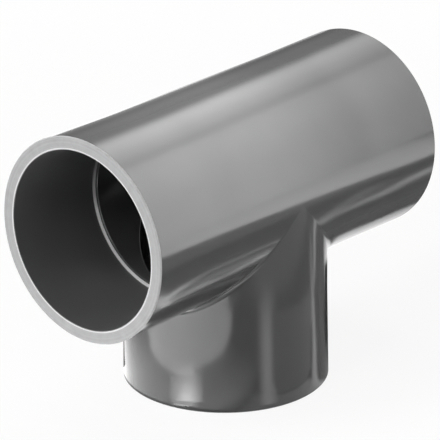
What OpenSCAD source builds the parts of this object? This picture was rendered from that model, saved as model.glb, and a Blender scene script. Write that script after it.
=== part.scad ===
// Equal 90 degree pipe tee, moulded in one piece, with three plain sockets for glued pipe.
// The run lies along X and the branch points down. The branch mouth stands on the ground,
// with its middle at the origin.

/* [Pipe] */
// Outside diameter of the pipe that the three sockets take
pipe_d = 50; // [25:1:110]

/* [Sockets] */
// Depth of each socket, from its mouth to its stop
socket_depth = 31; // [18:1:60]
// Thickness of the wall at the mouth
socket_wall = 3.8; // [2.4:0.1:7]
// How far the outside widens from the body to the mouth, on the radius
socket_flare = 0.4; // [0.1:0.05:1]
// Height of the shoulder that stops the pipe
stop_h = 1.5; // [0.8:0.1:3]
// Chamfer on the inner edge of the shoulder
stop_edge = 0.4; // [0.1:0.1:0.6]
// Chamfer that leads the pipe into the mouth
lead_in = 0.4; // [0.1:0.1:1.2]
// Chamfer round the outside of the mouth
mouth_edge = 0.3; // [0.1:0.1:1]

/* [Body] */
// How far each stop lies outside the line of the crossing pipe's bore
stop_gap = 1; // [0.5:0.5:12]
// Radius of the blend where the branch leaves the run
blend_r = 2.5; // [1:0.1:5]

/* [Hidden] */

$fn = 128;

// Radii round the axis of the run or of the branch
socket_r = pipe_d / 2;
bore_r = socket_r - stop_h;
mouth_r = socket_r + socket_wall;
body_r = mouth_r - socket_flare;

// Places along an axis, measured from the point where the two axes meet
stop_at = socket_r + stop_gap;
arm = stop_at + socket_depth;
flare_from = body_r + blend_r;

// The blend is the path of a ball that rolls along both cylinders. It bites into them
// by a hair, so that its surface crosses theirs and leaves no knife edge.
bite = blend_r * 0.012;
ball_at = body_r + blend_r - bite;
// Angle of the ball's arc that the bite hides at each end, with a margin
hidden = acos(1 - bite / blend_r) + 3;
// The ball's path ends at the sides of the tee, where this little of its arc is in sight
least_arc = 18;
path_end = asin(sqrt(cos(2 * hidden + least_arc)));
path_steps = 20;
arc_steps = 4;
// Depth of the blend's hidden root under the edge where the two cylinders meet
root_depth = blend_r;

// Unit direction at an angle from one unit direction towards another
function swing(from, to, angle) =
    let (whole = acos(from * to))
    (sin(whole - angle) * from + sin(angle) * to) / sin(whole);

// Unit directions from the ball's middle to where it touches the run and the branch
function to_run(t) = [0, -sin(t), cos(t)];
function to_branch(t) = [-cos(t), -sin(t), 0];

// One cross-section of the blend: the arc of the ball, then the root inside the tee
function blend_ring(t) =
    let (
        middle = ball_at * [cos(t), sin(t), -cos(t)],
        whole = acos(to_run(t) * to_branch(t)),
        shown = whole - 2 * hidden,
        angles = [0, for (i = [0 : arc_steps]) hidden + shown * i / arc_steps, whole]
    )
    concat(
        [for (angle = angles) middle + blend_r * swing(to_run(t), to_branch(t), angle)],
        [middle + (blend_r * sqrt(2) + root_depth) * swing(to_run(t), to_branch(t), whole / 2)]
    );

// The blend on the +X side of the branch
module blend() {
    per_ring = arc_steps + 4;
    rings = [for (i = [0 : path_steps]) blend_ring(-path_end + 2 * path_end * i / path_steps)];
    sides = [for (i = [0 : path_steps - 1], j = [0 : per_ring - 1])
        let (k = (j + 1) % per_ring)
        each [
            [i * per_ring + j, (i + 1) * per_ring + j, (i + 1) * per_ring + k],
            [i * per_ring + j, (i + 1) * per_ring + k, i * per_ring + k]
        ]];
    first_end = [[for (j = [0 : per_ring - 1]) j]];
    last_end = [[for (j = [per_ring - 1 : -1 : 0]) path_steps * per_ring + j]];
    polyhedron(points = [for (ring = rings) each ring], faces = concat(first_end, last_end, sides));
}

// Half outline of one arm: radius across, distance from the crossing of the axes up
module arm_outline() {
    polygon([
        [0, 0],
        [body_r, 0],
        [body_r, flare_from],
        [mouth_r - socket_flare * mouth_edge / (arm - flare_from), arm - mouth_edge],
        [mouth_r - mouth_edge, arm],
        [0, arm]
    ]);
}

// Half outline of the hollow in one arm: waterway, shoulder, socket and lead-in
module hollow_outline() {
    past_mouth = 1;
    polygon([
        [0, 0],
        [bore_r, 0],
        [bore_r, stop_at - stop_edge],
        [bore_r + stop_edge, stop_at],
        [socket_r, stop_at],
        [socket_r, arm - lead_in],
        [socket_r + lead_in, arm],
        [socket_r + lead_in, arm + past_mouth],
        [0, arm + past_mouth]
    ]);
}

// Turns the children to point along both ends of the run and along the branch
module each_arm() {
    for (turn = [[0, 90, 0], [0, -90, 0], [180, 0, 0]])
        rotate(turn) rotate_extrude() children();
}

module tee_body() {
    color([0.36, 0.36, 0.37])
        translate([0, 0, arm])
            difference() {
                union() {
                    each_arm() arm_outline();
                    blend();
                    mirror([1, 0, 0]) blend();
                }
                each_arm() hollow_outline();
            }
}

tee_body();
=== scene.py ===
from math import cos, pi, radians, sin, tan

import bmesh
import bpy
from mathutils import Matrix, Vector


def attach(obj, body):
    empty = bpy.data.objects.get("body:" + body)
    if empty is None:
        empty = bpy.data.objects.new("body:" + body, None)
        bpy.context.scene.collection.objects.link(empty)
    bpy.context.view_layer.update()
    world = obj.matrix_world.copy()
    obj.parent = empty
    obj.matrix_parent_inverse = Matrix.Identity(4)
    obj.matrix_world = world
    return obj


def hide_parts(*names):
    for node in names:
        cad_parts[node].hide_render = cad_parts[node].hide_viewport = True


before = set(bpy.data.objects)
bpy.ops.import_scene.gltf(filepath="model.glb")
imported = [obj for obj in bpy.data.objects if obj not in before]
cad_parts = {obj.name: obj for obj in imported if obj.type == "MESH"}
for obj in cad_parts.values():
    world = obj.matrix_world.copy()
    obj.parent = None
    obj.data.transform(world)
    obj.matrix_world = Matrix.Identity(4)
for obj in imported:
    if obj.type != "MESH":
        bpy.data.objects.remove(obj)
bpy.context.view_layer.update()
print("frame loaded:", sorted(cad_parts))

# Sizes of the moulded tee, in metres. Distances run along an arm from where the axes cross.
teeSizes = {
    "Body Radius": 0.0284,
    "Mouth Radius": 0.0288,
    "Flare From": 0.0309,
    "Blend Radius": 0.0025,
    "Arm Length": 0.057,
    "Mouth Edge": 0.0003,
    "Lead In": 0.00018,
    "Socket Radius": 0.025,
    "Stop At": 0.026,
    "Stop Edge": 0.00012,
    # the pale wall and the stop's outer ring, out to the next radius, carry painted light and a
    # painted highlight
    "Pale Wall": 0.0004,  # the wall beside the stop that has the stop's look
    "Worn From": 0.0242,
    "Bore Radius": 0.0235,
    "Bore Edge": 0.0004,
    "Half Columns": 96,
}

# How finely its surfaces are divided, and how its mesh is closed and shaded
teeDetail = {
    "outsideRows": 16,
    "blendRows": 10,
    "waterwayRows": 10,
    "boreEdgeRows": 5,
    "endRows": [2, 5, 2, 12, 1, 2, 1, 2],  # from the mouth's outer edge to the waterway
    "weld": 0.000001,
    "sharpFrom": 28,  # degrees between two faces
    "leastArc": 0.001,  # radians of the ball's arc where the blend has run out
}


def flatGrey(level):
    return (level, level, level, 1.0)


class Wire:
    # an output socket of a node, so that sums on it can be written in plain Python
    def __init__(self, graph, socket):
        self.graph = graph
        self.socket = socket

    def math(self, operation, *values):
        slots = {i: v for i, v in enumerate(values)}
        return self.graph.add("ShaderNodeMath", {"operation": operation}, slots)

    def __add__(self, other):
        return self.math("ADD", self, other)

    def __radd__(self, other):
        return self.math("ADD", other, self)

    def __sub__(self, other):
        return self.math("SUBTRACT", self, other)

    def __rsub__(self, other):
        return self.math("SUBTRACT", other, self)

    def __mul__(self, other):
        return self.math("MULTIPLY", self, other)

    def __rmul__(self, other):
        return self.math("MULTIPLY", other, self)

    def __truediv__(self, other):
        return self.math("DIVIDE", self, other)

    def __rtruediv__(self, other):
        return self.math("DIVIDE", other, self)

    def __neg__(self):
        return self.math("MULTIPLY", self, -1.0)

    def __abs__(self):
        return self.math("ABSOLUTE", self)

    def __pow__(self, other):
        return self.math("POWER", self, other)

    def __rpow__(self, other):
        return self.math("POWER", other, self)

    def __gt__(self, other):
        return self.math("GREATER_THAN", self, other)

    def __lt__(self, other):
        return self.math("LESS_THAN", self, other)

    def sin(self):
        return self.math("SINE", self)

    def cos(self):
        return self.math("COSINE", self)

    def acos(self):
        return self.math("ARCCOSINE", self)

    def atOr(self, least):
        return self.math("MAXIMUM", self, least)

    def upTo(self, most):
        return self.math("MINIMUM", self, most)

    def degreesOver(self, other):
        return self.math("ARCTAN2", self, other) * (180 / pi)

    def sibling(self, name):
        return Wire(self.graph, self.socket.node.outputs[name])


class Graph:
    # one node tree while it is being wired
    def __init__(self, tree):
        self.tree = tree

    def add(self, kind, settings=None, inputs=None, output=0):
        node = self.tree.nodes.new(kind)
        for name, value in (settings or {}).items():
            if name == "stops":
                ramp = node.color_ramp
                while len(ramp.elements) < len(value):
                    ramp.elements.new(0.5)
                for stop, (place, grey) in zip(ramp.elements, value):
                    stop.position = place
                    stop.color = flatGrey(grey)
            else:
                setattr(node, name, value)
        for key, value in (inputs or {}).items():
            for one in value if isinstance(value, list) else [value]:
                if isinstance(one, Wire):
                    self.tree.links.new(one.socket, node.inputs[key])
                else:
                    node.inputs[key].default_value = one
        return Wire(self, node.outputs[output]) if node.outputs else node

    def axes(self, vector):
        x = self.add("ShaderNodeSeparateXYZ", None, {0: vector})
        return x, x.sibling("Y"), x.sibling("Z")

    def point(self, x, y, z):
        return self.add("ShaderNodeCombineXYZ", None, {0: x, 1: y, 2: z})

    def between(self, value, low, high, first=0.0, last=1.0, easing="LINEAR"):
        slots = {"Value": value, "From Min": low, "From Max": high, "To Min": first, "To Max": last}
        return self.add("ShaderNodeMapRange", {"interpolation_type": easing, "clamp": True}, slots)

    def softly(self, *span):
        # the same, with a slow start and end
        return self.between(*span, easing="SMOOTHSTEP")


def newShape(name, floats=(), wholes=(), others=()):
    # an empty Geometry Nodes tree with named inputs, and a wire for each of them
    tree = bpy.data.node_groups.new(name, "GeometryNodeTree")
    kinds = [(n, "NodeSocketFloat") for n in floats] + [(n, "NodeSocketInt") for n in wholes]
    for label, kind in kinds + list(others):
        tree.interface.new_socket(name=label, in_out="INPUT", socket_type=kind)
    tree.interface.new_socket(name="Mesh", in_out="OUTPUT", socket_type="NodeSocketGeometry")
    graph = Graph(tree)
    start = tree.nodes.new("NodeGroupInput")
    given = {s.name: Wire(graph, s) for s in start.outputs if s.name}
    return graph, given


def closeShape(graph, mesh):
    end = graph.tree.nodes.new("NodeGroupOutput")
    graph.tree.links.new(mesh.socket, end.inputs["Mesh"])
    return graph.tree


def sheetOf(graph, columns, rows):
    # a flat grid that a Set Position bends, with its shares across and along
    slots = {"Size X": 1.0, "Size Y": 1.0, "Vertices X": columns + 1, "Vertices Y": rows + 1}
    grid = graph.add("GeometryNodeMeshGrid", None, slots)
    x, y, z = graph.axes(graph.add("GeometryNodeInputPosition"))
    return grid, x + 0.5, y + 0.5


def bent(graph, grid, x, y, z):
    slots = {"Geometry": grid, "Position": graph.point(x, y, z)}
    return graph.add("GeometryNodeSetPosition", None, slots)


def turned(graph, mesh, turn):
    return graph.add("GeometryNodeTransform", None, {"Geometry": mesh, "Rotation": turn})


def joined(graph, meshes):
    return graph.add("GeometryNodeJoinGeometry", None, {"Geometry": meshes})


def ringShape():
    # a band round an arm, from one radius and distance to another; the arm points along +X
    floats = ["First Radius", "First Distance", "Last Radius", "Last Distance"]
    graph, given = newShape("ringBand", floats, ["Half Columns", "Rows"])
    grid, across, along = sheetOf(graph, given["Half Columns"] * 2.0, given["Rows"])
    angle = across * (2 * pi) - pi / 2
    radius = graph.between(along, 0.0, 1.0, given["First Radius"], given["Last Radius"])
    distance = graph.between(along, 0.0, 1.0, given["First Distance"], given["Last Distance"])
    y, z = radius * angle.sin(), -radius * angle.cos()
    return closeShape(graph, bent(graph, grid, distance, y, z))


def crossedShape():
    # the skin of two crossing tubes, one of which ends in the other, with the path of a ball
    # that rolls along both as the blend between them
    floats = ["Radius", "End Radius", "Widens From", "Widens To", "End", "Ball"]
    graph, given = newShape("crossedSkins", floats, ["Half Columns", "Rows", "Blend Rows"])
    radius, ball, end = given["Radius"], given["Ball"], given["End"]
    reach = radius + ball

    def skinRadius(distance):
        return graph.between(distance, given["Widens From"], given["Widens To"], radius,
                             given["End Radius"])

    # half of the run: its lower side starts at the blend, its upper side at the middle
    grid, across, along = sheetOf(graph, given["Half Columns"] * 2.0, given["Rows"])
    angle = across * (2 * pi) - pi / 2
    start = reach * angle.cos().atOr(0.0)
    distance = start + along * (end - start)
    wide = skinRadius(distance)
    runHalf = bent(graph, grid, distance, wide * angle.sin(), -wide * angle.cos())

    # the branch starts at the blend all round
    grid, across, along = sheetOf(graph, given["Half Columns"] * 2.0, given["Rows"])
    angle = across * (2 * pi) - pi / 2
    start = reach * abs(angle.cos())
    distance = start + along * (end - start)
    wide = skinRadius(distance)
    branch = bent(graph, grid, wide * angle.cos(), wide * angle.sin(), -distance)

    # one side of the blend: the ball's middle, and its arc from the run to the branch
    grid, across, along = sheetOf(graph, given["Half Columns"], given["Blend Rows"])
    angle = across * pi - pi / 2
    side, level = angle.sin(), angle.cos()
    whole = (side * side).upTo(1.0).acos().atOr(teeDetail["leastArc"])
    toRun = ((1.0 - along) * whole).sin() / whole.sin()
    toBranch = (along * whole).sin() / whole.sin()
    x = reach * level - ball * toBranch * level
    y = reach * side - ball * (toRun + toBranch) * side
    z = ball * toRun * level - reach * level
    blend = bent(graph, grid, x, y, z)

    both = [turned(graph, part, (0.0, 0.0, pi)) for part in (runHalf, blend)]
    return closeShape(graph, joined(graph, [runHalf, branch, blend] + both))


def teeShape():
    floats = [name for name in teeSizes if name != "Half Columns"]
    looks = [(name, "NodeSocketMaterial") for name in ("Moulded Skin", "Socket Wall", "Cut Face")]
    graph, size = newShape("mouldedTee", floats, ["Half Columns"], looks)
    ringTree, crossedTree = ringShape(), crossedShape()
    columns, arm = size["Half Columns"], size["Arm Length"]

    def ring(first, last, rows):
        slots = {"First Radius": first[0], "First Distance": first[1], "Last Radius": last[0],
                 "Last Distance": last[1], "Half Columns": columns, "Rows": rows}
        return graph.add("GeometryNodeGroup", {"node_tree": ringTree}, slots)

    def crossed(radius, endRadius, end, ball, rows, blendRows):
        slots = {"Radius": radius, "End Radius": endRadius, "Widens From": size["Flare From"],
                 "Widens To": arm, "End": end, "Ball": ball, "Half Columns": columns, "Rows": rows,
                 "Blend Rows": blendRows}
        return graph.add("GeometryNodeGroup", {"node_tree": crossedTree}, slots)

    def marked(meshes, name):
        kind = {"data_type": "BOOLEAN", "domain": "FACE"}
        slots = {"Geometry": joined(graph, meshes), "Name": name, "Value": True}
        return graph.add("GeometryNodeStoreNamedAttribute", kind, slots)

    body, mouth, bore = size["Body Radius"], size["Mouth Radius"], size["Bore Radius"]
    edge, wall, leadIn = size["Mouth Edge"], size["Socket Radius"], size["Lead In"]
    stop, stopEdge = size["Stop At"], size["Stop Edge"]
    outside = crossed(body, mouth, arm - edge, size["Blend Radius"],
                      teeDetail["outsideRows"], teeDetail["blendRows"])
    waterway = crossed(bore, bore, stop - stopEdge, size["Bore Edge"],
                       teeDetail["waterwayRows"], teeDetail["boreEdgeRows"])

    # outline of an arm's end: round the mouth, down the socket and over the stop
    rim = graph.between(arm - edge, size["Flare From"], arm, body, mouth)
    outline = [
        (rim, arm - edge), (mouth - edge, arm), (wall + leadIn, arm), (wall, arm - leadIn),
        (wall, stop + size["Pale Wall"]), (wall, stop), (size["Worn From"], stop),
        (bore + stopEdge, stop), (bore, stop - stopEdge),
    ]
    bands = [ring(outline[i], outline[i + 1], rows) for i, rows in enumerate(teeDetail["endRows"])]
    cut = marked(bands[:3] + bands[4:6], "cutFace")  # mouth, lead-in, pale wall, outer stop
    socket = marked([bands[3]], "socketWall")
    armEnd = joined(graph, [cut, socket] + bands[6:])
    turns = ((0.0, 0.0, pi), (0.0, pi / 2, 0.0))
    ends = [armEnd] + [turned(graph, armEnd, turn) for turn in turns]
    whole = joined(graph, [outside, waterway] + ends)
    slots = {"Geometry": whole, "Distance": teeDetail["weld"]}
    whole = graph.add("GeometryNodeMergeByDistance", None, slots)
    slots = {"Geometry": whole, "Translation": graph.point(0.0, 0.0, arm)}
    whole = graph.add("GeometryNodeTransform", None, slots)
    whole = graph.add("GeometryNodeRealizeInstances", None, {"Geometry": whole})
    slots = {"Geometry": whole, "Material": size["Moulded Skin"]}
    whole = graph.add("GeometryNodeSetMaterial", None, slots)
    for mark, name in (("socketWall", "Socket Wall"), ("cutFace", "Cut Face")):
        kind = {"data_type": "BOOLEAN"}
        isMarked = graph.add("GeometryNodeInputNamedAttribute", kind, {"Name": mark})
        slots = {"Geometry": whole, "Selection": isMarked, "Material": size[name]}
        whole = graph.add("GeometryNodeSetMaterial", None, slots)
    return closeShape(graph, whole)


def meshFrom(name, tree, values):
    # runs a tree once and keeps its result as a plain closed mesh, faces outwards
    piece = bpy.data.objects.new(name, bpy.data.meshes.new(name + "Seed"))
    bpy.context.scene.collection.objects.link(piece)
    modifier = piece.modifiers.new("shape", "NODES")
    modifier.node_group = tree
    for item in tree.interface.items_tree:
        if item.item_type == "SOCKET" and item.in_out == "INPUT":
            modifier[item.identifier] = values[item.name]
    evaluated = piece.evaluated_get(bpy.context.evaluated_depsgraph_get())
    mesh = bpy.data.meshes.new_from_object(evaluated)
    piece.modifiers.remove(modifier)
    mesh.name = name
    piece.data = mesh
    shell = bmesh.new()
    shell.from_mesh(mesh)
    bmesh.ops.recalc_face_normals(shell, faces=shell.faces)
    openEdges = sum(1 for e in shell.edges if not e.is_manifold)
    print(name, "faces:", len(shell.faces), "open edges:", openEdges)
    shell.to_mesh(mesh)
    shell.free()
    return piece


def newLook(name):
    look = bpy.data.materials.new(name)
    look.use_nodes = True
    look.node_tree.nodes.clear()
    graph = Graph(look.node_tree)
    place = graph.add("ShaderNodeTexCoord", None, None, "Object")
    return look, graph, place


def finishLook(graph, shader):
    graph.add("ShaderNodeOutputMaterial", None, {"Surface": shader})


def cloud(graph, place, scale, detail=2.0, roughness=0.5):
    slots = {"Vector": place, "Scale": scale, "Detail": detail, "Roughness": roughness}
    return graph.add("ShaderNodeTexNoise", None, slots)


blueTrace = 1.01  # how much brighter blue is than the other channels of a mixed grey


def layered(graph, share, under, over):
    # a colour over another, where share is 1
    slots = {0: share, 6: under, 7: over}
    return graph.add("ShaderNodeMix", {"data_type": "RGBA"}, slots, 2)


def greyMix(graph, share, first, last):
    greys = [(grey, grey, grey * blueTrace, 1.0) for grey in (first, last)]
    return layered(graph, share, *greys)


def rampOf(graph, value, stops, full=1.0):
    # a grey that follows pairs of place and value, up to the value that is full
    first, last = stops[0][0], stops[-1][0]
    share = graph.between(value, float(first), float(last))
    ramp = [((place - first) / (last - first), level / full) for place, level in stops]
    colour = graph.add("ShaderNodeValToRGB", {"stops": ramp}, {0: share})
    return graph.add("ShaderNodeRGBToBW", None, {0: colour})


def relief(graph, height, depth, under=None):
    slots = {"Strength": 1.0, "Distance": depth, "Height": height}
    if under is not None:
        slots["Normal"] = under
    return graph.add("ShaderNodeBump", None, slots)


def plastic(graph, colour, roughness, normal):
    finishLook(graph, graph.add("ShaderNodeBsdfPrincipled", None, {
        "Base Color": colour, "Roughness": roughness, "IOR": 1.5, "Normal": normal}))


# Glossy grey rigid plastic, as it leaves the mould
mouldedSkin = {
    "darkGrey": 0.055,
    "lightGrey": 0.064,
    "cloudScale": 55.0,
    "smearScale": 220.0,
    "smearShare": 0.6,  # how much of the dullness follows the smears, the rest the clouds
    "dullFrom": 0.35,
    "dullTo": 0.7,
    "gloss": 0.11,  # roughness where the skin is cleanest
    "dullest": 0.16,
    "rippleScale": 120.0,
    "rippleDepth": 0.000012,
    "grainScale": 2600.0,
    "grainDepth": 0.0000012,
}

# The same plastic inside the arms, where the mould's cores leave it duller
socketWall = dict(mouldedSkin, darkGrey=0.078, lightGrey=0.091, gloss=0.29, dullest=0.35)


def mouldedLook(name, choice):
    look, graph, place = newLook(name)
    patches = cloud(graph, place, choice["cloudScale"])
    smears = cloud(graph, place, choice["smearScale"], detail=4.0, roughness=0.6)
    colour = greyMix(graph, patches, choice["darkGrey"], choice["lightGrey"])
    blotches = smears * choice["smearShare"] + patches * (1.0 - choice["smearShare"])
    dull = graph.between(blotches, choice["dullFrom"], choice["dullTo"],
                         choice["gloss"], choice["dullest"])
    waves = cloud(graph, place, choice["rippleScale"], detail=1.0)
    specks = cloud(graph, place, choice["grainScale"])
    ripple = relief(graph, waves, choice["rippleDepth"])
    plastic(graph, colour, dull, relief(graph, specks, choice["grainDepth"], ripple))
    return look


# The mouths, trimmed to length: paler, matt, with the fine rings that the cutter leaves. Their
# inner edge is paler still, a painted highlight, and each stop carries painted light and a painted
# highlight: pale at its lower part, where the light falls, and dark at its top, in the wall's shade
cutFace = {
    "darkGrey": 0.31,
    "lightGrey": 0.37,
    "patchScale": 420.0,
    "mixFrom": 0.36,
    "mixTo": 0.64,
    "wallGrey": 0.08,
    # the pale ring along the mouth's inner edge is a painted highlight
    "edgeHighlightGrey": 0.60,
    "edgeWidth": 0.0004,
    "edgeInside": 0.2,  # the share of the lead-in, inwards of its rim, that is as pale
    "stopReach": 0.005,  # how far past the stop its greys are used
    # painted light and a painted highlight on each stop, pale below and dark on top
    "stopPaintedLight": [  # heights from the run's axis, with the grey there
        (-0.024, 0.58), (-0.018, 0.72), (-0.0065, 0.80), (0.0, 0.50), (0.0065, 0.14)],
    "ringsPerMetre": 1900.0,
    "ringDepth": 0.000004,
    "roughness": 0.60,
}


def cutLook(choice, sizes):
    look, graph, place = newLook("cutGrey")
    x, y, z = graph.axes(place)
    height = z - sizes["Arm Length"]
    onRun = abs(x) > abs(height)
    runRadius = (y * y + height * height) ** 0.5
    branchRadius = (x * x + y * y) ** 0.5
    radius = runRadius * onRun + branchRadius * (1.0 - onRun)
    # where each stop's painted light and painted highlight are used
    atStop = sizes["Stop At"] + choice["stopReach"] > abs(x).atOr(abs(height))
    rings = graph.add("ShaderNodeTexNoise", {"noise_dimensions": "1D"}, {
        "W": radius, "Scale": choice["ringsPerMetre"], "Detail": 2.0, "Roughness": 0.6})
    patches = cloud(graph, place, choice["patchScale"], detail=3.0, roughness=0.6)
    share = graph.between(rings * 0.5 + patches * 0.5, choice["mixFrom"], choice["mixTo"])
    colour = greyMix(graph, share, choice["darkGrey"], choice["lightGrey"])
    rimRadius = sizes["Socket Radius"] + sizes["Lead In"]
    paleTo = rimRadius - sizes["Lead In"] * choice["edgeInside"]
    # layers over the face: a painted highlight at the inner edge, the socket's own dark grey
    # inwards of it, then each stop's painted light
    layers = [(rimRadius + choice["edgeWidth"] > radius, flatGrey(choice["edgeHighlightGrey"])),
              (paleTo > radius, flatGrey(choice["wallGrey"])),
              (atStop, rampOf(graph, height, choice["stopPaintedLight"]))]
    for share, grey in layers:
        colour = layered(graph, share, colour, grey)
    plastic(graph, colour, choice["roughness"], relief(graph, rings, choice["ringDepth"]))
    return look


values = dict(teeSizes)
values["Moulded Skin"] = mouldedLook("mouldedGrey", mouldedSkin)
values["Socket Wall"] = mouldedLook("socketGrey", socketWall)
values["Cut Face"] = cutLook(cutFace, teeSizes)
tee = meshFrom("mouldedTee", teeShape(), values)
tee.data.shade_smooth()
tee.data.set_sharp_from_angle(angle=radians(teeDetail["sharpFrom"]))
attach(tee, "root")
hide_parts("tee_body")
print("tee made")


# Stage: a pale floor, cards that only show in the gloss, and soft lamps
floorLook = {
    "radius": 4.0,
    "sides": 96,
    "paint": 0.9,
    "glow": 0.905,  # the share of the glow near the tee; it is all glow from whiteAt outwards
    "whiteFrom": 0.10,
    "whiteAt": 0.45,
    "foot": 0.028,
    "footFade": 0.003,
}


def seenDirectly(graph):
    # 1 for rays from the camera, from a reflection or through something clear, 0 for the others
    path = graph.add("ShaderNodeLightPath", None, None, "Is Camera Ray")
    return (path + path.sibling("Is Glossy Ray") + path.sibling("Is Transmission Ray")).upTo(1.0)


def outOfFoot(graph, x, y):
    # 0 on the part of the floor that the branch stands on
    foot = floorLook["foot"]
    return graph.between((x * x + y * y) ** 0.5, foot - floorLook["footFade"], foot)


def paleFloor(choice):
    look, graph, place = newLook("paleFloor")
    plain = graph.add("ShaderNodeBsdfDiffuse", None, {"Color": flatGrey(choice["paint"])})
    glow = graph.add("ShaderNodeEmission", None, {"Color": flatGrey(1.0), "Strength": 1.0})
    x, y, z = graph.axes(place)
    away = (x * x + y * y) ** 0.5
    glowShare = graph.softly(away, choice["whiteFrom"], choice["whiteAt"], choice["glow"], 1.0)
    shown = seenDirectly(graph) * glowShare * outOfFoot(graph, x, y)
    finishLook(graph, graph.add("ShaderNodeMixShader", None, {0: shown, 1: plain, 2: glow}))
    disc = bmesh.new()
    bmesh.ops.create_circle(disc, cap_ends=True, radius=choice["radius"], segments=choice["sides"])
    mesh = bpy.data.meshes.new("floor")
    disc.to_mesh(mesh)
    disc.free()
    floor = bpy.data.objects.new("floor", mesh)
    bpy.context.scene.collection.objects.link(floor)
    mesh.materials.append(look)


def cardFrom(name, points, faces, look):
    # a card that shows in the object's gloss and nowhere else
    mesh = bpy.data.meshes.new(name)
    mesh.from_pydata(points, [], faces)
    mesh.materials.append(look)
    card = bpy.data.objects.new(name, mesh)
    bpy.context.scene.collection.objects.link(card)
    for kind in ("camera", "diffuse", "transmission", "volume_scatter", "shadow"):
        setattr(card, "visible_" + kind, False)


def rungFaces(count):
    # the faces of a strip whose points come in pairs
    return [(2 * i - 2, 2 * i, 2 * i + 1, 2 * i - 1) for i in range(1, count)]


def glowLook(name, strength, shape):
    # an emission whose grey comes from the card's own coordinates, and that is clear where it is 0
    look, graph, place = newLook(name)
    grey, cover = shape(graph, *graph.axes(place))
    colour = graph.add("ShaderNodeCombineColor", None, {0: grey, 1: grey, 2: grey})
    light = graph.add("ShaderNodeEmission", None, {"Color": colour, "Strength": strength})
    clear = graph.add("ShaderNodeBsdfTransparent")
    finishLook(graph, graph.add("ShaderNodeMixShader", None, {0: cover, 1: clear, 2: light}))
    return look


# The big curved card round the run. Each stop is an angle round the run's axis, in degrees
# from straight up towards the front, and the brightness there. It leans by some degrees a
# metre, and dims towards its ends: each pair is a place along the run and a share.
archCard = {
    "radius": 0.45,
    "from": 0.20, "to": 0.56, "middle": 0.40,
    "lean": 60.0,
    "full": 7.2,  # the brightness that a grey of 1 stands for
    "strength": 7.45,  # how strongly the card glows there
    "stops": [(-126, 0.9), (-100, 0.5), (-80, 0.4), (-64, 0.85), (-55, 1.0), (-46, 1.3),
              (-41, 2.6), (-36, 4.5), (-30, 5.5), (-22, 5.8), (-8, 5.4), (-2, 4.9), (3, 5.1),
              (9, 6.5), (20, 7.0), (32, 7.1), (49, 6.7), (80, 6.1), (98, 5.4)],
    "dims": [(0.2, 0.8), (0.352, 0.8), (0.367, 0.88), (0.382, 0.95), (0.397, 1.0), (0.412, 0.97),
             (0.427, 0.94), (0.442, 0.76), (0.454, 0.62), (0.5, 0.5), (0.56, 0.4)],
}


def bigArch(name, choice, middle, steps=96):
    stops, radius = choice["stops"], choice["radius"]
    first, last = stops[0][0], stops[-1][0]

    def shape(graph, x, y, z):
        angle = (-y).degreesOver(z - middle) + (x - choice["middle"]) * choice["lean"]
        return rampOf(graph, angle, stops, choice["full"]) * rampOf(graph, x, choice["dims"]), 1.0

    look = glowLook(name, choice["strength"], shape)
    points = []
    for i in range(steps + 1):
        angle = radians(first + (last - first) * i / steps)
        y, z = -radius * sin(angle), middle + radius * cos(angle)
        points += [(choice["from"], y, z), (choice["to"], y, z)]
    cardFrom(name, points, rungFaces(steps + 1), look)


# The other half of the studio, which the photograph's view hardly reflects
farArch = {
    "radius": 0.5,
    "from": -0.9, "to": 0.16, "middle": 0.0,
    "lean": 0.0,
    "full": 4.0,
    "strength": 4.0,
    "stops": [(-97, 2.6), (-70, 3.4), (-45, 3.6), (-32, 0.8), (0, 0.45), (32, 0.8), (45, 3.6),
              (70, 3.4), (97, 2.6)],
    "dims": [(-0.9, 0.2), (-0.6, 1.0), (0.1, 1.0), (0.16, 0.6)],
}
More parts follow.
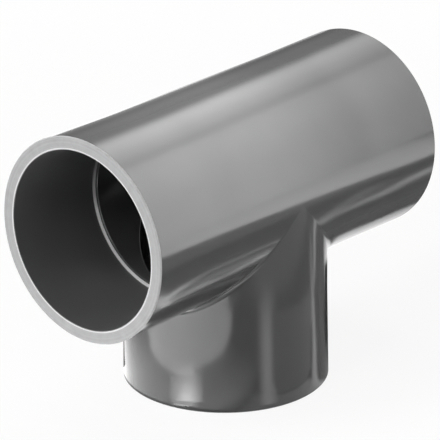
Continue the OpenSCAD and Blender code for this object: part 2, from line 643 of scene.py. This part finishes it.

# Cards that lie on the floor and show only in the gloss: the dark ones are the tee's painted shadow
# on the floor, the bright ones painted pools of light. Each has its corners, its brightness at two
# places
# along a way, and its soft edges: a point on the edge, the way that leads into the card, and the
# fade's width.
floorCards = {
    "shade": {
        "corners": ((-0.075, -0.21), (0.24, 0.01)),
        "light": ((0.0, 1.0), -0.115, 1.1, -0.09, 0.55),
        "edges": [
            ((-0.062, 0.0), (1.0, 0.0), 0.01),
            ((0.0, -0.011), (0.0, -1.0), 0.004),
        ],
    },
    "footGlow": {
        "corners": ((-0.026, -0.0358), (0.02, -0.022)),
        "light": ((1.0, 0.0), -0.01, 1.3, 0.01, 1.5),
        "edges": [
            ((-0.019, 0.0), (1.0, 0.0), 0.008),
            ((0.012, 0.0), (-1.0, 0.0), 0.008),
            ((0.0, -0.035), (0.0, 1.0), 0.0015),
        ],
    },
    "underRunShadow": {
        "corners": ((0.0, -0.075), (0.17, 0.01)),
        "light": ((0.0, 1.0), -0.028, 0.38, -0.015, 0.2),
        "edges": [
            ((0.012, 0.0), (1.0, 0.0), 0.006),
            ((0.15, 0.0), (-1.0, 0.0), 0.03),
            ((0.0, -0.052), (0.0, 1.0), 0.014),
            ((0.0, -0.011), (0.0, -1.0), 0.004),
        ],
    },
    "footShade": {
        "corners": ((0.012, -0.024), (0.065, 0.003)),
        "light": ((1.0, 0.0), 0.02, 0.1, 0.06, 0.13),
        "edges": [
            ((0.0, -0.0195), (0.0, 1.0), 0.006),
            ((0.0605, 0.0), (-1.0, 0.0), 0.004),
            ((0.0, 0.0), (0.0, -1.0), 0.003),
        ],
    },
    "underGlow": {
        "corners": ((0.052, -0.014), (0.12, 0.04)),
        "light": ((1.0, 0.0), 0.07, 1.4, 0.1, 1.15),
        "edges": [
            ((0.0, -0.009), (0.0, 1.0), 0.006),
            ((0.06, 0.0), (1.0, 0.0), 0.01),
            ((0.108, 0.0), (-1.0, 0.0), 0.02),
            ((0.0, 0.032), (0.0, -1.0), 0.015),
        ],
    },
    "frontSweep": {
        "corners": ((-0.2, -0.7), (0.9, 0.08)),
        "light": ((0.74, 0.67), -0.009, 4.95, 0.034, 3.85),
        "edges": [
            ((0.118, -0.147), (0.857, -0.514), 0.008),
            ((0.0, -0.106), (0.0, -1.0), 0.012),
            ((-0.0755, 0.0), (0.74, 0.67), 0.01),
            ((0.069, 0.0), (-0.74, -0.67), 0.012),
        ],
    },
    "backSweep": {
        "corners": ((0.08, 0.12), (0.46, 0.44)),
        "light": ((0.735, -0.677), -0.03, 1.9, 0.04, 0.5),
        "edges": [
            ((0.0, 0.13), (0.0, 1.0), 0.02),
            ((0.0, 0.42), (0.0, -1.0), 0.03),
            ((-0.066, 0.0), (0.735, -0.677), 0.01),
            ((0.088, 0.0), (-0.735, 0.677), 0.012),
        ],
    },
    "leftBack": {
        "corners": ((-0.062, -0.008), (0.03, 0.16)),
        "light": ((0.0, 1.0), 0.02, 2.95, 0.045, 1.7),
        "edges": [
            ((0.0, -0.004), (0.0, 1.0), 0.004),
            ((0.02, 0.0), (-1.0, 0.0), 0.02),
            ((-0.055, 0.0), (1.0, 0.0), 0.01),
        ],
    },
    "leftFront": {
        "corners": ((-0.062, -0.06), (-0.02, -0.008)),
        "light": ((0.0, 1.0), -0.045, 1.0, -0.018, 2.2),
        "edges": [
            ((0.0, -0.011), (0.0, -1.0), 0.003),
            ((-0.022, 0.0), (-1.0, 0.0), 0.01),
            ((0.0, -0.052), (0.0, 1.0), 0.016),
            ((-0.054, 0.0), (1.0, 0.0), 0.0035),
        ],
    },
    "leftSweep": {
        "corners": ((-0.13, -0.13), (-0.03, 0.055)),
        "light": ((0.0, 1.0), -0.05, 4.0, 0.0, 5.3),
        "edges": [
            ((-0.054, 0.0), (-1.0, 0.0), 0.0035),
            ((-0.0535, -0.045), (-0.954, 0.305), 0.005),
            ((-0.12, 0.0), (1.0, 0.0), 0.02),
            ((0.0, 0.045), (0.0, -1.0), 0.02),
            ((0.0, -0.07), (0.0, 1.0), 0.008),
        ],
    },
    "leftBulge": {
        "corners": ((-0.062, -0.018), (-0.042, 0.042)),
        "light": ((0.0, 1.0), -0.01, 5.2, 0.0, 5.5),
        "edges": [
            ((-0.0485, 0.0), (-1.0, -0.06), 0.004),
            ((0.0, -0.0145), (0.0, 1.0), 0.005),
            ((0.0, 0.033), (0.0, -1.0), 0.01),
        ],
    },
    "backShade": {
        "corners": ((-0.02, 0.02), (0.034, 0.066)),
        "light": ((1.0, 0.0), 0.0, 0.08, 0.02, 0.08),
        "edges": [
            ((-0.0192, 0.0249), (0.826, -0.563), 0.0015),
            ((0.0, 0.058), (0.0, -1.0), 0.012),
            ((0.028, 0.0), (-1.0, 0.0), 0.008),
        ],
    },
    "footFloor": {
        "corners": ((-0.0305, -0.0158), (-0.0245, -0.0035)),
        "light": ((0.0, 1.0), -0.011, 6.5, -0.0065, 5.0),
        "edges": [
            ((0.0, -0.012), (0.0, 1.0), 0.004),
            ((0.0, -0.006), (0.0, -1.0), 0.005),
        ],
    },
}


def floorCard(name, choice, height):
    def shape(graph, x, y, z):
        cover = outOfFoot(graph, x, y)
        for (px, py), (inX, inY), fade in choice["edges"]:
            inside = x * inX + y * inY - (px * inX + py * inY)
            cover = graph.softly(inside, -fade / 2, fade / 2) * cover
        (wayX, wayY), start, first, end, last = choice["light"]
        return graph.between(x * wayX + y * wayY, start, end, first / full, last / full), cover

    (x0, y0), (x1, y1) = choice["corners"]
    full = max(choice["light"][2], choice["light"][4])
    look = glowLook(name, full, shape)
    points = [(x0, y0, height), (x1, y0, height), (x1, y1, height), (x0, y1, height)]
    cardFrom(name, points, [(0, 1, 2, 3)], look)


# Light on the floor that spreads from a point: place, bearing and half width in degrees,
# brightness, and how far it reaches. Its middle and its near part are at full brightness.
floorRays = {
    "frontRay": {"start": (-0.0116, -0.013), "bearing": 269.0, "spread": 14.0, "strength": 2.7,
                 "reach": 0.105, "fullWidth": 0.1, "fullLength": 0.6, "startWidth": 0.001},
}


def floorRay(name, choice, height):
    px, py = choice["start"]
    way, spread, far = radians(choice["bearing"]), choice["spread"], choice["reach"]

    def shape(graph, x, y, z):
        onward = (x - px) * cos(way) + (y - py) * sin(way)
        aside = abs((y - py) * cos(way) - (x - px) * sin(way))
        angle = aside.degreesOver(onward)
        cover = graph.softly(angle, spread * choice["fullWidth"], spread, 1.0, 0.0)
        cover = cover * graph.softly(onward, far * choice["fullLength"], far, 1.0, 0.0)
        return 1.0, cover * outOfFoot(graph, x, y)

    look = glowLook(name, choice["strength"], shape)
    near, wide = choice["startWidth"], far * tan(radians(spread))
    points = []
    for along, across in ((0.0, -near), (far, -wide), (far, wide), (0.0, near)):
        x = px + along * cos(way) - across * sin(way)
        y = py + along * sin(way) + across * cos(way)
        points.append((x, y, height))
    cardFrom(name, points, [(0, 1, 2, 3)], look)


# Narrow strips of light in front of the tee, as places on the floor with a brightness and a
# half width
floorStrips = {
    "frontStrip": [
        (-0.01, -0.037, 3.2, 0.0042),
        (-0.002, -0.043, 2.8, 0.0042),
        (0.006, -0.047, 1.7, 0.0042),
        (0.0125, -0.05, 1.3, 0.0042),
        (0.0325, -0.052, 1.3, 0.0045),
        (0.0475, -0.052, 1.2, 0.0045),
        (0.0625, -0.0525, 0.8, 0.006),
        (0.0775, -0.053, 1.6, 0.006),
        (0.0925, -0.0555, 2.0, 0.007),
        (0.102, -0.0595, 2.1, 0.007),
        (0.111, -0.0625, 2.3, 0.008),
        (0.15, -0.067, 2.1, 0.012),
    ],
    "sideStrip": [
        (0.003, -0.0272, 1.5, 0.002),
        (0.012, -0.0308, 1.8, 0.0025),
        (0.0328, -0.0381, 1.9, 0.0045),
        (0.0592, -0.0492, 2.0, 0.0065),
        (0.0811, -0.0642, 1.3, 0.007),
        (0.098, -0.0745, 1.35, 0.007),
        (0.115, -0.085, 0.5, 0.01),
    ],
}
stripCore = 0.2  # the share of a strip's width that is at full brightness


def lightStrip(name, path, height):
    alongs, acrosses, glows, halves = zip(*path)
    full, nearest, widest = max(glows), min(acrosses), max(halves)
    deep = max(acrosses) - nearest

    def shape(graph, x, y, z):
        def follow(levels, most=1.0):
            return rampOf(graph, x, list(zip(alongs, levels)), most)

        middle = follow([(across - nearest) / deep for across in acrosses]) * deep + nearest
        aside = abs(y - middle) / (follow(halves, widest) * widest)
        return follow(glows, full), graph.softly(aside, stripCore, 1.0, 1.0, 0.0)

    look = glowLook(name, full, shape)
    points = []
    for px, py, glow, half in path:
        points += [(px, py - half, height), (px, py + half, height)]
    cardFrom(name, points, rungFaces(len(path)), look)


# Low upright cards beside the branch. The dim ones keep parts of the floor's light out of its
# gloss, and the bright one shows at its foot. They fade at both ends, and towards the top from
# a share of their height on.
uprightFlags = {
    "frontFlag": {"from": (-0.0110, -0.036), "to": (0.0185, -0.036), "height": 0.026,
                  "strength": 0.95, "fade": 0.10, "topFrom": 0.9},
    "sideFlag": {"from": (0.036, -0.0205), "to": (0.036, 0.012), "height": 0.0265,
                 "strength": 0.04, "fade": 0.05, "topFrom": 0.9},
    "footBeam": {"from": (-0.030, -0.0158), "to": (-0.030, -0.0035), "height": 0.0135,
                 "strength": 11.8, "fade": 0.42, "topFrom": 0.2},
}


def uprightFlag(name, choice):
    (x0, y0), (x1, y1) = choice["from"], choice["to"]
    length = ((x1 - x0) ** 2 + (y1 - y0) ** 2) ** 0.5
    fade, top = choice["fade"], choice["height"]

    def shape(graph, x, y, z):
        along = ((x - x0) * (x1 - x0) + (y - y0) * (y1 - y0)) / length ** 2
        cover = graph.between(along, 0.0, fade) * graph.between(along, 1.0 - fade, 1.0, 1.0, 0.0)
        return 1.0, cover * graph.between(z, top * choice["topFrom"], top, 1.0, 0.0)

    look = glowLook(name, choice["strength"], shape)
    points = [(x0, y0, 0.0), (x1, y1, 0.0), (x1, y1, top), (x0, y0, top)]
    cardFrom(name, points, [(0, 1, 2, 3)], look)


def softLamp(name, place, target, size, power):
    data = bpy.data.lights.new(name, "AREA")
    data.shape = "DISK"
    data.size = size
    data.energy = power
    lamp = bpy.data.objects.new(name, data)
    bpy.context.scene.collection.objects.link(lamp)
    lamp.location = place
    lamp.rotation_euler = (Vector(target) - Vector(place)).to_track_quat("-Z", "Y").to_euler()
    lamp.visible_glossy = False
    lamp.visible_camera = False


lampTarget = (0.0, 0.0, 0.05)
softLamps = {
    "keyLamp": {"place": (-0.9, -0.9, 1.3), "size": 0.9, "power": 3.4},
    "sideLamp": {"place": (-1.3, -0.15, 1.05), "size": 0.5, "power": 6.3},
    "backLamp": {"place": (-1.2, 0.45, 1.0), "size": 0.5, "power": 13.8},
    "topLamp": {"place": (0.2, 0.3, 1.6), "size": 1.2, "power": 8.1},
}

# How bright the world is to rays that show it, and as light on the scene
stageWorld = {"shown": 1.0, "light": 0.14}


def plainWorld(choice):
    world = bpy.data.worlds.new("paleStudio")
    world.use_nodes = True
    world.node_tree.nodes.clear()
    graph = Graph(world.node_tree)
    light, white = [graph.add("ShaderNodeBackground", None, {
        "Strength": choice[kind], "Color": flatGrey(1.0)}) for kind in ("light", "shown")]
    slots = {0: seenDirectly(graph), 1: light, 2: white}
    mixed = graph.add("ShaderNodeMixShader", None, slots)
    graph.add("ShaderNodeOutputWorld", None, {"Surface": mixed})
    bpy.context.scene.world = world


# Heights of the flat cards over the floor. Where two overlap, the later one is on top.
cardHeights = {"floorCards": 0.0003, "floorRays": 0.0014, "floorStrips": 0.0016, "step": 0.0001}

paleFloor(floorLook)
bigArch("archCard", archCard, teeSizes["Arm Length"])
bigArch("farArch", farArch, teeSizes["Arm Length"])
for step, (name, choice) in enumerate(floorCards.items()):
    floorCard(name, choice, cardHeights["floorCards"] + cardHeights["step"] * step)
for name, choice in floorRays.items():
    floorRay(name, choice, cardHeights["floorRays"])
for step, (name, path) in enumerate(floorStrips.items()):
    lightStrip(name, path, cardHeights["floorStrips"] + cardHeights["step"] * step)
for name, choice in uprightFlags.items():
    uprightFlag(name, choice)
for name, choice in softLamps.items():
    softLamp(name, choice["place"], lampTarget, choice["size"], choice["power"])
plainWorld(stageWorld)
print("stage set")

# The photograph's view: three angles in degrees, the distance and the point that it faces in
# metres, and the lens and the sensor's width in millimetres
cameraSetup = {"bearing": -48.1138, "height": 22.0379, "roll": -0.5154, "away": 0.97292,
               "target": (-0.001943, 0.0, 0.046043), "lens": 288.5, "sensor": 36.0}


def photoCamera(choice):
    bearing, height, roll = (radians(choice[k]) for k in ("bearing", "height", "roll"))
    back = Vector((sin(bearing) * cos(height), -cos(bearing) * cos(height), sin(height)))
    right = Vector((0, 0, 1)).cross(back).normalized()
    up = back.cross(right)
    sideways = right * cos(roll) + up * sin(roll)
    upwards = up * cos(roll) - right * sin(roll)
    data = bpy.data.cameras.new("photoCamera")
    data.sensor_width = choice["sensor"]
    data.lens = choice["lens"]
    camera = bpy.data.objects.new("photoCamera", data)
    bpy.context.scene.collection.objects.link(camera)
    turn = Matrix((sideways, upwards, back)).transposed().to_4x4()
    place = Matrix.Translation(Vector(choice["target"]) + back * choice["away"])
    camera.matrix_world = place @ turn
    bpy.context.scene.camera = camera


photoCamera(cameraSetup)
bpy.context.scene.view_settings.view_transform = "Standard"
